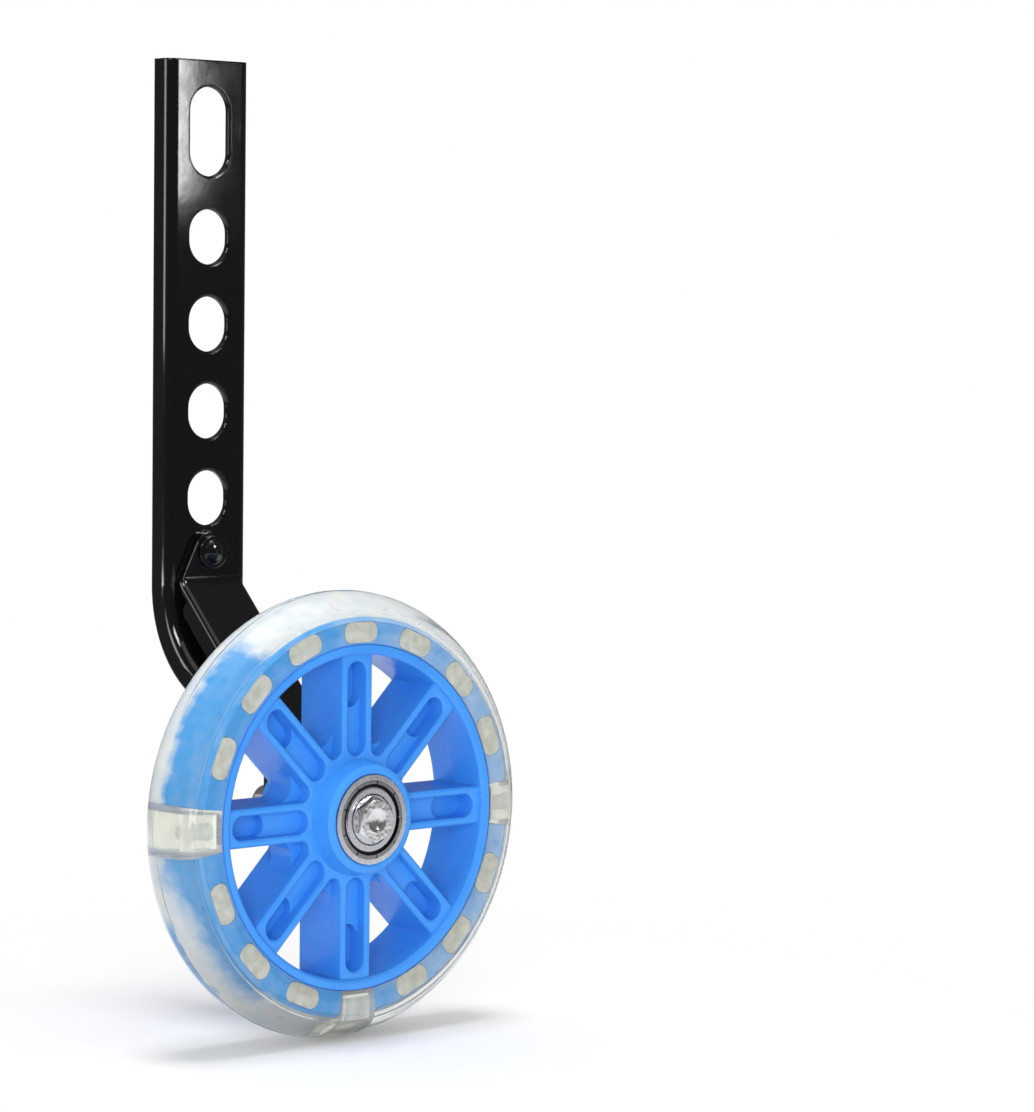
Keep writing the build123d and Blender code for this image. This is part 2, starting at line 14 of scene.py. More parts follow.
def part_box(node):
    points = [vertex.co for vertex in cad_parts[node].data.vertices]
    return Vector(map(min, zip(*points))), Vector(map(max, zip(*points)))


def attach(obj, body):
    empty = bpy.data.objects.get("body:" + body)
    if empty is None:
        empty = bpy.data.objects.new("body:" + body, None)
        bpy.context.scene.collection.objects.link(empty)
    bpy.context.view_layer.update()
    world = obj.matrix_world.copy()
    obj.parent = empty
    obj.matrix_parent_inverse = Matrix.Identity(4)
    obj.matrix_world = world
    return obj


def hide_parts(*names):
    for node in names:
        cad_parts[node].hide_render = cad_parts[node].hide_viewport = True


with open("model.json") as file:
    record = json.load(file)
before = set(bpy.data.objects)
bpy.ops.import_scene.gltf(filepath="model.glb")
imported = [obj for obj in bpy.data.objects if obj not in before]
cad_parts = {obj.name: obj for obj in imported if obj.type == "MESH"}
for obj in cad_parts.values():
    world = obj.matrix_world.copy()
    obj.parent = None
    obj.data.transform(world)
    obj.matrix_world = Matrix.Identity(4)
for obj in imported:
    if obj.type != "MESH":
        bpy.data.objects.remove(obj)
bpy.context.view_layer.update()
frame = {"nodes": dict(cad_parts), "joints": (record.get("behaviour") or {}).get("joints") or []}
nodes = frame["nodes"]
MM = 0.001

# %% [markdown]
# Most of the wheel is round about one line, the axle. Its place could be typed in, but it is read from
# the wheel's own joint, so that every turned piece and every pattern below is measured from the real
# one.

# %% Where the axle and the tyre are
joints = {joint["name"]: joint for joint in frame["joints"]}
axle = Vector(joints["wheel_spin"]["pos_m"])
tyre_low, tyre_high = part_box("tyre")
tyre_radius = tyre_high.x - axle.x
half_tyre = (tyre_high.y - tyre_low.y) / 2
floor_height = tyre_low.z
print("axle:", [round(v, 4) for v in axle], "tyre radius:", round(tyre_radius, 4))

# %% [markdown]
# The camera stands where the photographer stood: to the left of the wheel's face, about a metre away
# and a little above the axle, with a long lens. It could be turned by hand until the picture fits. It
# is easier to aim it at a point, since a camera looks along its own -Z, and then to roll it by the
# small angle at which it was held.

# %% Camera
PHOTO_WIDTH, PHOTO_HEIGHT = 1034, 1112
FOCAL_PIXELS = 3877.4
SENSOR_WIDTH = 36
CLIP_START = 0.05
CAMERA_PLACE = Vector((-0.60545, -0.78556, 0.01644))
CAMERA_AIM = Vector((0.0594, -0.0540, -0.0472))
CAMERA_ROLL = math.radians(0.655)

bpy.ops.object.select_all(action="DESELECT")
bpy.ops.object.camera_add(location=CAMERA_PLACE)
camera = bpy.context.object
look = (CAMERA_AIM - CAMERA_PLACE).normalized()
level = look.to_track_quat("-Z", "Y")
camera.rotation_mode = "QUATERNION"
camera.rotation_quaternion = Matrix.Rotation(-CAMERA_ROLL, 3, look).to_quaternion() @ level
camera.data.sensor_width = SENSOR_WIDTH
camera.data.lens = FOCAL_PIXELS / max(PHOTO_WIDTH, PHOTO_HEIGHT) * SENSOR_WIDTH
camera.data.clip_start = CLIP_START
bpy.context.scene.camera = camera
distance = (CAMERA_AIM - CAMERA_PLACE).length
print("lens:", round(camera.data.lens, 2), "mm, distance:", round(distance, 3), "m")

# %% [markdown]
# A world or a finish in Blender is a tree of nodes, which can be wired by hand in the editor. A few
# kinds of node come back in every tree below, so a small helper makes and wires each of them: one maps
# a value from a range to another, one adds, multiplies or compares two values, and one blends them.

# %% Helpers that wire nodes
def feed(tree, value, socket):
    """Sets a number on a socket, or links another node's output to it."""
    if isinstance(value, (int, float)):
        socket.default_value = value
    else:
        tree.links.new(value, socket)


def spread(tree, value, low, high, out_low, out_high, curve="LINEAR"):
    """Maps a value from one range to another, clamped, along a straight line or a named curve."""
    mapped = tree.nodes.new("ShaderNodeMapRange")
    mapped.interpolation_type = curve
    mapped.inputs["From Min"].default_value = low
    mapped.inputs["From Max"].default_value = high
    mapped.inputs["To Min"].default_value = out_low
    mapped.inputs["To Max"].default_value = out_high
    tree.links.new(value, mapped.inputs["Value"])
    return mapped.outputs["Result"]


def combine(tree, operation, first, second):
    """Two values added, multiplied or compared, by the name of a Math operation."""
    result = tree.nodes.new("ShaderNodeMath")
    result.operation = operation
    feed(tree, first, result.inputs[0])
    feed(tree, second, result.inputs[1])
    return result.outputs[0]


def blend_values(tree, factor, first, second):
    """The first value where the factor is 0, and the second where it is 1."""
    blended = tree.nodes.new("ShaderNodeMix")
    tree.links.new(factor, blended.inputs["Factor"])
    feed(tree, first, blended.inputs["A"])
    feed(tree, second, blended.inputs["B"])
    return blended.outputs["Result"]


def seen_directly(tree):
    """1 for a ray that comes from the camera or through clear plastic, and 0 for any other ray."""
    path = tree.nodes.new("ShaderNodeLightPath")
    return combine(tree, "MAXIMUM", path.outputs["Is Camera Ray"], path.outputs["Is Transmission Ray"])


# %% [markdown]
# The photograph is a product shot on white. More light would make a floor white too, but it would wash
# out the plastic. So the white comes from the world, which only a ray from the camera or through clear
# plastic sees at full strength. Matt surfaces are lit by a softer version of it. Polished ones see a
# dim room, a little paler at the back, so that gloss black stays black between the lamps it mirrors.

# %% World
AMBIENT = 0.62
GLOSS_BACK, GLOSS_FRONT = 0.15, 0.11
ROOM_BACK, ROOM_FRONT = 0.5, -0.9

scene = bpy.context.scene
scene.view_settings.view_transform = "Standard"
world = bpy.data.worlds.new("studio")
scene.world = world
world.use_nodes = True
tree = world.node_tree
tree.nodes.clear()
output = tree.nodes.new("ShaderNodeOutputWorld")
background = tree.nodes.new("ShaderNodeBackground")
background.inputs["Color"].default_value = (1, 1, 1, 1)
path = tree.nodes.new("ShaderNodeLightPath")
place = tree.nodes.new("ShaderNodeTexCoord")
split = tree.nodes.new("ShaderNodeSeparateXYZ")
tree.links.new(place.outputs["Generated"], split.inputs[0])
room = spread(tree, split.outputs["Y"], ROOM_FRONT, ROOM_BACK, GLOSS_FRONT, GLOSS_BACK)
light = blend_values(tree, path.outputs["Is Glossy Ray"], AMBIENT, room)
tree.links.new(blend_values(tree, seen_directly(tree), light, 1.0), background.inputs["Strength"])
tree.links.new(background.outputs[0], output.inputs["Surface"])
print("world:", AMBIENT, "for matt surfaces, white for the camera")

# %% [markdown]
# Soft boxes are area lamps. The large one close behind the camera is the main light: it reaches into
# the pockets of the hub and throws its shadow behind the wheel. A smaller one overhead draws the shadow
# under the tyre. Gloss needs lamps to mirror, and a broad gleam overhead is for the top of the tyre.
# The rest would draw streaks on clear plastic, so light linking keeps them to paint and metal: two
# behind on the left draw the line along the rounded edge of the arm and its bend, one high on the left
# lines the brace, one high on the right puts a point on the rivet, and a short strip on the right glows
# in the face of the arm near its top.

# %% Lamps
def soft_box(name, place, aim, size, radiance, matt=True, gloss=True):
    """An area lamp of (width, height) in metres for matt or gloss or both. Its radiance gives its power."""
    bpy.ops.object.select_all(action="DESELECT")
    bpy.ops.object.light_add(type="AREA", location=place)
    lamp = bpy.context.object
    lamp.name = name
    lamp.data.shape = "RECTANGLE"
    lamp.data.size, lamp.data.size_y = size
    lamp.data.energy = radiance * math.pi * size[0] * size[1]
    lamp.visible_diffuse = matt
    lamp.visible_glossy = gloss
    lamp.rotation_mode = "QUATERNION"
    lamp.rotation_quaternion = (Vector(aim) - Vector(place)).to_track_quat("-Z", "Y")
    print(name, "power", round(lamp.data.energy, 2), "W")
    return lamp


wheel_aim = tuple(axle)
soft_box("main_light", (-0.77, -0.98, 0.08), wheel_aim, (0.6, 0.6), 7.6, gloss=False)
soft_box("overhead", (0.0, -0.06, 1.1), wheel_aim, (0.35, 0.35), 16.0, gloss=False)
soft_box("top_gleam", (0.0, -0.1, 1.1), wheel_aim, (1.2, 1.2), 1.0, matt=False)
shiny = bpy.data.collections.new("paint_and_metal")
for name in ("bracket_arm", "brace_strut", "brace_rivet", "axle_bolt"):
    shiny.objects.link(nodes[name])
linked_lamps = [
    soft_box("edge_high", (-0.99, 0.48, 0.12), (0, 0, 0), (0.42, 0.26), 6.0, matt=False),
    soft_box("edge_low", (-0.99, 0.48, -0.145), (0, 0, -0.06), (0.42, 0.035), 14.0, matt=False),
    soft_box("brace_box", (-0.72, -0.44, 0.63), (0, -0.02, -0.09), (0.3, 0.3), 22.0, matt=False),
    soft_box("rivet_spot", (0.36, -0.74, 0.53), (0, 0, -0.05), (0.22, 0.22), 32.0, matt=False),
    soft_box("face_strip", (0.592, -0.798, 0.125), (-0.01, 0, 0.06), (0.014, 0.11), 26.0, matt=False),
]
for lamp in linked_lamps:
    lamp.light_linking.receiver_collection = shiny

# %% [markdown]
# The floor is a pale sheet at the foot of the tyre. A large plane would show its far edge. A disc with
# a soft rim fades into the white world instead, and it keeps the shadow of the wheel. For the camera it
# fades sooner than for reflections. Its finish starts as every finish below does: a material with one
# Principled shader, whose constant values are set on its own sockets.

# %% Floor
def new_finish(name, **values):
    """A material with a Principled shader whose sockets take the given values."""
    finish = bpy.data.materials.new(name)
    finish.use_nodes = True
    shader = finish.node_tree.nodes["Principled BSDF"]
    for socket, value in values.items():
        shader.inputs[socket.replace("_", " ")].default_value = value
    return finish, finish.node_tree, shader


def distance_from(tree, point, axes=(1, 1, 1)):
    """How far the surface is from a point, in metres, counted along the axes that are 1."""
    place = tree.nodes.new("ShaderNodeTexCoord")
    centre = tree.nodes.new("ShaderNodeMapping")
    centre.inputs["Location"].default_value = [-part * axis for part, axis in zip(point, axes)]
    centre.inputs["Scale"].default_value = axes
    reach = tree.nodes.new("ShaderNodeVectorMath")
    reach.operation = "LENGTH"
    tree.links.new(place.outputs["Object"], centre.inputs["Vector"])
    tree.links.new(centre.outputs[0], reach.inputs[0])
    return reach.outputs["Value"]


def turn_clear(tree, shader, factor, tint=(1, 1, 1)):
    """Where the factor is 1, rays go straight through the surface and take on its tint."""
    clear = tree.nodes.new("ShaderNodeBsdfTransparent")
    clear.inputs["Color"].default_value = (*tint, 1)
    mixed = tree.nodes.new("ShaderNodeMixShader")
    tree.links.new(factor, mixed.inputs["Fac"])
    tree.links.new(shader.outputs[0], mixed.inputs[1])
    tree.links.new(clear.outputs[0], mixed.inputs[2])
    tree.links.new(mixed.outputs[0], tree.nodes["Material Output"].inputs["Surface"])


FLOOR_RADIUS, FLOOR_FADE = 0.60, 0.30
SEEN_RADIUS, SEEN_FADE = 0.24, 0.18
FLOOR_SIDES = 96

foot = Vector((axle.x, axle.y, floor_height))
bpy.ops.object.select_all(action="DESELECT")
bpy.ops.mesh.primitive_circle_add(
    vertices=FLOOR_SIDES, radius=FLOOR_RADIUS, fill_type="NGON", location=foot
)
floor = bpy.context.object
floor.name = "floor"
bpy.ops.object.transform_apply(location=True, rotation=True, scale=True)
floor_finish, tree, paper = new_finish(
    "floor_white", Base_Color=(0.95, 0.95, 0.95, 1), Roughness=0.9, Specular_IOR_Level=0.0
)
reach = distance_from(tree, foot)
far_fade = spread(tree, reach, FLOOR_RADIUS - FLOOR_FADE, FLOOR_RADIUS, 0, 1, "SMOOTHSTEP")
near_fade = spread(tree, reach, SEEN_RADIUS - SEEN_FADE, SEEN_RADIUS, 0, 1, "SMOOTHSTEP")
turn_clear(tree, paper, blend_values(tree, seen_directly(tree), far_fade, near_fade))
floor.data.materials.append(floor_finish)
print("floor at", round(floor_height, 4), "m")

# %% [markdown]
# Photographs of real surfaces could colour the pieces, but they need unwrapping and fix the size of the
# detail. Noise on Object coordinates needs neither and is measured in millimetres. The next helpers add
# that noise, two tones of a colour, a change of gloss, a bump, and a rounding of sharp edges, because
# real paint and plastic never end in a knife edge.

# %% Helpers for finishes
NOISE_RANGE = (0.3, 0.7)
BEVEL_SAMPLES = 6


def add_noise(tree, size_mm, detail=3.0):
    """Noise on Object coordinates whose blobs are about size_mm across."""
    place = tree.nodes.new("ShaderNodeTexCoord")
    noise = tree.nodes.new("ShaderNodeTexNoise")
    noise.inputs["Scale"].default_value = 1 / (size_mm * MM)
    noise.inputs["Detail"].default_value = detail
    tree.links.new(place.outputs["Object"], noise.inputs["Vector"])
    return noise.outputs["Fac"]


def mottle(tree, size_mm, low=0, high=1, detail=3.0):
    """Noise spread over a range of values, without its rare extremes."""
    return spread(tree, add_noise(tree, size_mm, detail), *NOISE_RANGE, low, high)


def mix_colours(tree, factor, first, second):
    """A colour between two, by a factor. The first may be a colour or another node's output."""
    mixed = tree.nodes.new("ShaderNodeMix")
    mixed.data_type = "RGBA"
    if isinstance(first, tuple):
        mixed.inputs[6].default_value = (*first, 1)
    else:
        tree.links.new(first, mixed.inputs[6])
    mixed.inputs[7].default_value = (*second, 1)
    tree.links.new(factor, mixed.inputs["Factor"])
    return mixed.outputs[2]


def two_tone(tree, shader, factor, dark, light):
    """A base colour that wanders between a dark and a light tone."""
    tree.links.new(mix_colours(tree, factor, dark, light), shader.inputs["Base Color"])


def vary_gloss(tree, shader, size_mm, low, high):
    """A roughness that wanders between two values, in blobs about size_mm across."""
    tree.links.new(mottle(tree, size_mm, low, high), shader.inputs["Roughness"])


def round_edges(tree, radius_mm):
    """A normal that rounds every sharp edge to a radius."""
    bevel = tree.nodes.new("ShaderNodeBevel")
    bevel.samples = BEVEL_SAMPLES
    bevel.inputs["Radius"].default_value = radius_mm * MM
    return bevel.outputs["Normal"]


def add_bump(tree, shader, height, depth_mm, normal=None):
    """Raises the surface by a height that is counted in depths."""
    bump = tree.nodes.new("ShaderNodeBump")
    bump.inputs["Distance"].default_value = depth_mm * MM
    tree.links.new(height, bump.inputs["Height"])
    if normal is not None:
        tree.links.new(normal, bump.inputs["Normal"])
    tree.links.new(bump.outputs["Normal"], shader.inputs["Normal"])


def dress(finish, *names):
    """Gives CAD nodes a finish in place of the plain one they came with."""
    for name in names:
        nodes[name].data.materials.clear()
        nodes[name].data.materials.append(finish)
    print(finish.name, "on", len(names), "pieces")


# %% [markdown]
# The bracket is pressed steel under a thick gloss black paint. A plain black with a low roughness would
# look like glass. Sprayed paint dries with a faint orange peel, so a low noise of about two millimetres
# bends the reflections, and a slower one varies the gloss.

# %% Black paint
paint, tree, shader = new_finish(
    "gloss_black_paint", Base_Color=(0.003, 0.003, 0.0035, 1), Specular_IOR_Level=0.5
)
add_bump(tree, shader, add_noise(tree, 2.2, 2.0), 0.003, round_edges(tree, 0.7))
vary_gloss(tree, shader, 6, 0.05, 0.08)
dress(paint, "bracket_arm", "brace_strut", "brace_rivet")

# %% [markdown]
# On the hub's ring inside the tyre the clear plastic has bonded only in part. Where it has, the ring
# shows a strong wet blue: a band along its front half at the left, which narrows and softens below the
# axle, and a short streak at the back. Elsewhere a film of air lies between. The border could be
# painted by hand on the mesh. Here it follows a point's place round, along and below the axle, with
# noise to make it ragged, so that it stays sharp at any size. Limits along and below the axle are in
# millimetres. Limits to the side run from 1 at the left of the ring to -1 at its right.

# %% Where the clear plastic has bonded
def place_along(tree, axis):
    """A point's place along X, Y or Z, in metres."""
    place = tree.nodes.new("ShaderNodeTexCoord")
    split = tree.nodes.new("ShaderNodeSeparateXYZ")
    tree.links.new(place.outputs["Object"], split.inputs[0])
    return split.outputs[axis]


def from_axle(start, limits_mm):
    """Two limits in mm from the axle, as places in metres."""
    return [start + limit * MM for limit in limits_mm]


RING_RADIUS = 49.0 * MM
RAGGED_SIDE, RAGGED_ALONG = 0.09, 1.8 * MM
BAND_SIDE = (0.53, 0.60)
BAND_BACK_ABOVE, BAND_BACK_BELOW = (2.0, 3.8), (-1.0, 5.5)
BAND_SOFTENS = (-14, -4)
BAND_NARROWS, BAND_NARROWS_BY = (-20, -12), 3.4 * MM
STREAK_FRONT, STREAK_SIDE = (3.8, 4.6), (0.40, 0.48)
STREAK_TOP, STREAK_FOOT = (-24, -20), (-42, -38)

hub_blue, tree, shader = new_finish("blue_plastic", Specular_IOR_Level=0.35)
ragged = add_noise(tree, 3.5, 8.0)
side = spread(tree, place_along(tree, "X"), -RING_RADIUS, RING_RADIUS, 1, -1)
ragged_side = combine(tree, "ADD", side, spread(tree, ragged, 0, 1, -RAGGED_SIDE, RAGGED_SIDE))
ragged_depth = spread(tree, ragged, 0, 1, -RAGGED_ALONG, RAGGED_ALONG)
depth = combine(tree, "ADD", place_along(tree, "Y"), ragged_depth)
height = place_along(tree, "Z")
narrowing = spread(tree, height, *from_axle(axle.z, BAND_NARROWS), BAND_NARROWS_BY, 0)
narrowed = combine(tree, "ADD", depth, narrowing)
behind_above = spread(tree, narrowed, *from_axle(axle.y, BAND_BACK_ABOVE), 0, 1)
behind_below = spread(tree, narrowed, *from_axle(axle.y, BAND_BACK_BELOW), 0, 1)
below = spread(tree, height, *from_axle(axle.z, BAND_SOFTENS), 1, 0)
behind_band = blend_values(tree, below, behind_above, behind_below)
beside_band = spread(tree, ragged_side, *BAND_SIDE, 1, 0)
off_band = combine(tree, "MAXIMUM", beside_band, behind_band)
before_streak = spread(tree, depth, *from_axle(axle.y, STREAK_FRONT), 1, 0)
over_streak = spread(tree, height, *from_axle(axle.z, STREAK_TOP), 0, 1)
under_streak = spread(tree, height, *from_axle(axle.z, STREAK_FOOT), 1, 0)
beside_streak = spread(tree, side, *STREAK_SIDE, 1, 0)
off_streak = combine(tree, "MAXIMUM", before_streak, combine(tree, "MAXIMUM", over_streak, under_streak))
off_streak = combine(tree, "MAXIMUM", off_streak, beside_streak)
unbonded = combine(tree, "MINIMUM", off_band, off_streak)
print("bonded band from", BAND_SIDE, "to the left, streak between", STREAK_FOOT, "and", STREAK_TOP, "mm")

# %% [markdown]
# The film of air shows milky grey. It is thick on the outside of the ring, thin on its side face, and
# grows there from the left to the right. On the bevelled edge the same milky colour is a painted
# highlight, which also grows from the left to the right. A second mesh for the film would lie too close
# to the ring, so it is a colour that covers the blue by an amount that follows from the place.

# %% Film of air and a painted highlight on the ring
def wheel_radius(tree):
    """The distance of a point from the axle, in metres."""
    return distance_from(tree, axle, (1, 0, 1))


RIM_RADIUS = 42.5 * MM
RING_BEVEL = 0.9 * MM
FILM_SIDE = (0.35, -0.9)
BONDED_FILM, OUTER_FILM = 0.10, (0.80, 0.97)
SIDE_FILM, SIDE_FILM_NOISE = 0.37, 0.12
# How strong the painted highlight on the bevelled edge is, from the left to the right of the ring.
PAINTED_BEVEL_HIGHLIGHT = (0.06, 0.28)

radius = wheel_radius(tree)
bonded_film = spread(tree, ragged, 0.4, 0.7, 0, BONDED_FILM)
wisps = spread(tree, add_noise(tree, 4, 6.0), 0.35, 0.65, *OUTER_FILM)
outer_film = blend_values(tree, unbonded, bonded_film, wisps)
side_wisps = mottle(tree, 5, -SIDE_FILM_NOISE, SIDE_FILM_NOISE, 6.0)
side_film = combine(tree, "ADD", spread(tree, side, *FILM_SIDE, 0, SIDE_FILM), side_wisps)
# A painted highlight: the milky colour on the ring's bevelled edge, stronger towards the right.
on_bevel = spread(tree, radius, RING_RADIUS - RING_BEVEL, RING_RADIUS - 0.8 * RING_BEVEL, 0, 1)
painted_bevel_highlight = combine(tree, "MULTIPLY", on_bevel, spread(tree, side, *FILM_SIDE, *PAINTED_BEVEL_HIGHLIGHT))
on_outside = spread(tree, radius, RING_RADIUS - 0.12 * MM, RING_RADIUS - 0.03 * MM, 0, 1)
film_and_painted_highlight = blend_values(tree, on_outside, combine(tree, "ADD", side_film, painted_bevel_highlight), outer_film)
in_tyre = spread(tree, radius, RIM_RADIUS + 0.1 * MM, RIM_RADIUS + 0.2 * MM, 0, 1)
film_and_highlight_in_tyre = combine(tree, "MULTIPLY", film_and_painted_highlight, in_tyre)
print("film on the side of the ring: 0 to", SIDE_FILM)

# %% [markdown]
# The hub itself is moulded from a bright blue plastic with a clean gloss. One even blue would look
# painted. The melt leaves slow changes of tone, and walls sink by a hair as they cool, so a slow noise
# mixes two blues and another one bends the gloss. Inside the tyre the blue turns wet, and the film of
# air and the painted highlight on the bevelled edge cover it.

# %% Blue plastic
BLUE_DARK, BLUE_LIGHT = (0.042, 0.262, 0.775), (0.054, 0.300, 0.830)
WET_BLUE = (0.032, 0.262, 0.600)
# The milky grey of the film of air, also used for the painted highlight on the bevelled edge.
MILK_FILM_AND_HIGHLIGHT = (0.68, 0.675, 0.65)

tone = mix_colours(tree, mottle(tree, 14), BLUE_DARK, BLUE_LIGHT)
wet_tone = mix_colours(tree, in_tyre, tone, WET_BLUE)
tree.links.new(mix_colours(tree, film_and_highlight_in_tyre, wet_tone, MILK_FILM_AND_HIGHLIGHT), shader.inputs["Base Color"])
vary_gloss(tree, shader, 5, 0.26, 0.36)
add_bump(tree, shader, add_noise(tree, 6, 2.0), 0.010, round_edges(tree, 0.55))
dress(hub_blue, "hub_core")

# %% [markdown]
# The tyre is cast from clear polyurethane round the hub's ring. In the mesh it is one closed body with
# no hollow for the ring: a clear solid that wets what it holds shows no surface there, so the ring is
# seen through it as if under water. Its section could be a curve with a Screw modifier. Here it is
# drawn with single extruded points, as by hand, and spun about the axle, so that each line of the mould
# gets its own points.

# %% A helper for turned pieces
MERGE_DISTANCE = 0.002 * MM
SMOOTH_ANGLE = math.radians(30)


def turned_piece(name, outline, steps):
    """Spins a closed outline of (radius, distance outboard), in metres, about the axle."""
    bpy.ops.object.select_all(action="DESELECT")
    points = [Vector((axle.x + radius, axle.y - out, axle.z)) for radius, out in outline]
    bpy.ops.mesh.primitive_plane_add(size=MM, location=points[0])
    piece = bpy.context.object
    piece.name = name
    piece.data.name = name
    bpy.ops.object.mode_set(mode="EDIT")
    bpy.ops.mesh.merge(type="CENTER")
    for start, end in zip(points, points[1:]):
        bpy.ops.mesh.extrude_region_move(TRANSFORM_OT_translate={"value": end - start})
    bpy.ops.mesh.select_all(action="SELECT")
    bpy.ops.mesh.edge_face_add()
    bpy.ops.mesh.delete(type="ONLY_FACE")
    bpy.ops.mesh.select_all(action="SELECT")
    bpy.ops.mesh.spin(steps=steps, angle=2 * math.pi, center=axle, axis=(0, 1, 0))
    bpy.ops.mesh.select_all(action="SELECT")
    bpy.ops.mesh.remove_doubles(threshold=MERGE_DISTANCE)
    bpy.ops.mesh.normals_make_consistent(inside=False)
    bpy.ops.object.mode_set(mode="OBJECT")
    bpy.ops.object.transform_apply(location=True, rotation=True, scale=True)
    bpy.ops.object.shade_smooth_by_angle(angle=SMOOTH_ANGLE)
    print(name, "faces:", len(piece.data.polygons))
    return piece


# %% Tyre
RIM_SEAT, RIM_HALF = 42.3 * MM, 9.5 * MM
FOOT = 43.0 * MM
FLANK, FLANK_HALF = 44.5 * MM, 9.9 * MM
SHOULDER = 46.0 * MM
LIP = 47.2 * MM
INNER_LINE = 48.4 * MM
TREAD_EDGE = 50.2 * MM
SEAM_HALF, SEAM_HEIGHT = 0.22 * MM, 0.12 * MM
LINE_HALF, LINE_HEIGHT = 0.15 * MM, 0.15 * MM
TREAD_STEPS, TURN_STEPS = 22, 160


def tread_arc(radius):
    """How far outboard the tread lies at a radius: one arc from shoulder to shoulder over the crown."""
    rise = tyre_radius - SHOULDER
    bow = (rise**2 + half_tyre**2) / (2 * rise)
    return math.sqrt(bow**2 - (radius - tyre_radius + bow) ** 2)


def mould_line(radius):
    """A fine raised line round the tyre, where two halves of the mould met."""
    out = tread_arc(radius)
    return [
        (radius + LINE_HALF, tread_arc(radius + LINE_HALF)),
        (radius + LINE_HEIGHT, out + LINE_HEIGHT),
        (radius - LINE_HALF, tread_arc(radius - LINE_HALF)),
    ]


half_outline = [(tyre_radius, 0), (tyre_radius, SEAM_HALF / 2), (tyre_radius - SEAM_HEIGHT, SEAM_HALF)]
for i in range(1, TREAD_STEPS):
    turn = 0.5 * math.pi * i / TREAD_STEPS
    radius = tyre_radius - (tyre_radius - TREAD_EDGE) * (1 - math.cos(turn)) - SEAM_HEIGHT
    half_outline.append((radius, tread_arc(radius)))
half_outline += mould_line(TREAD_EDGE)
half_outline += mould_line(INNER_LINE)
half_outline += [(LIP, tread_arc(LIP)), (SHOULDER, half_tyre), (FLANK, FLANK_HALF)]
half_outline += [(FOOT, RIM_HALF), (RIM_SEAT, RIM_HALF)]
outline = list(reversed(half_outline)) + [(radius, -out) for radius, out in half_outline[1:]]
tyre = turned_piece("clear_tyre", outline, TURN_STEPS)
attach(tyre, "wheel")
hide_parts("tyre")

# %% [markdown]
# Clear polyurethane lets light through, bends it, and has a little haze of its own. A glass shader
# would leave out the haze. One Principled shader does all three: most of its weight goes to
# transmission, and the rest stays milky. The mould was turned on a lathe and left fine circles on the
# tyre. Lamps could not reach the ring inside, because a clear surface still throws a shadow, so for
# shadow rays the shader turns transparent.

# %% Clear plastic
def ring_grain(tree, width_mm):
    """Noise that changes with the distance from the axle alone, in circles about width_mm wide."""
    noise = tree.nodes.new("ShaderNodeTexNoise")
    noise.noise_dimensions = "1D"
    noise.inputs["Scale"].default_value = 1 / (width_mm * MM)
    tree.links.new(wheel_radius(tree), noise.inputs["W"])
    return noise.outputs["Fac"]


def let_light_in(tree, shader, tint):
    """Shadow rays pass through the surface, tinted, so that lamps reach what is inside."""
    path = tree.nodes.new("ShaderNodeLightPath")
    turn_clear(tree, shader, path.outputs["Is Shadow Ray"], tint)


clear_pu, tree, shader = new_finish(
    "clear_polyurethane",
    Base_Color=(0.83, 0.845, 0.835, 1),
    IOR=1.45,
    Specular_IOR_Level=0.5,
    Transmission_Weight=0.97,
)
vary_gloss(tree, shader, 9, 0.03, 0.10)
circles = spread(tree, ring_grain(tree, 0.6), *NOISE_RANGE, 0, 0.30)
add_bump(tree, shader, combine(tree, "ADD", add_noise(tree, 5, 2.0), circles), 0.05)
let_light_in(tree, shader, (0.93, 0.935, 0.93))
tyre.data.materials.append(clear_pu)
print("clear tyre finished")

# %% [markdown]
# The ring has windows through which the plastic of the two sides joins. That thick plug of plastic is
# cloudy and looks cream. The windows could be left to the clear plastic alone, but then they would show
# as holes. One plug is modelled at the top of the wheel, a block with rounded corners, and copied round
# the axle to the places that have no flash module. Then the plugs are joined to the tyre, which they
# are part of.

# %% Plugs in the ring's windows
WINDOW_LENGTH, WINDOW_HEIGHT, WINDOW_CORNER = 10.4 * MM, 5.0 * MM, 2.2 * MM
WINDOW_CENTRE = 45.4 * MM
WINDOW_COUNT = 16
CORNER_STEPS = 6
RING_HALF = 8.7 * MM
PLUG_GAP = 0.05 * MM
MODULE_ANGLES = (0, 180, 270)

cloudy, tree, shader = new_finish("cloudy_plug", Roughness=0.35, IOR=1.45, Transmission_Weight=0.15)
two_tone(tree, shader, mottle(tree, 2.4), (0.46, 0.455, 0.385), (0.68, 0.67, 0.58))

bpy.ops.object.select_all(action="DESELECT")
bpy.ops.mesh.primitive_cube_add(size=1, location=axle + Vector((0, 0, WINDOW_CENTRE)))
plug = bpy.context.object
plug.name = "window_plug"
plug.scale = [size - 2 * PLUG_GAP for size in (WINDOW_LENGTH, 2 * RING_HALF, WINDOW_HEIGHT)]
bpy.ops.object.transform_apply(location=True, rotation=True, scale=True)
bpy.ops.object.mode_set(mode="EDIT")
bpy.ops.mesh.select_mode(type="EDGE")
bpy.ops.mesh.select_all(action="DESELECT")
bpy.ops.object.mode_set(mode="OBJECT")
for edge in plug.data.edges:
    first, second = (plug.data.vertices[i].co for i in edge.vertices)
    edge.select = abs(first.y - second.y) > RING_HALF
bpy.ops.object.mode_set(mode="EDIT")
bpy.ops.mesh.bevel(offset=WINDOW_CORNER, segments=CORNER_STEPS)
bpy.ops.object.mode_set(mode="OBJECT")
bpy.ops.object.shade_smooth_by_angle(angle=SMOOTH_ANGLE)
plug.data.materials.append(cloudy)
print("plug faces:", len(plug.data.polygons))

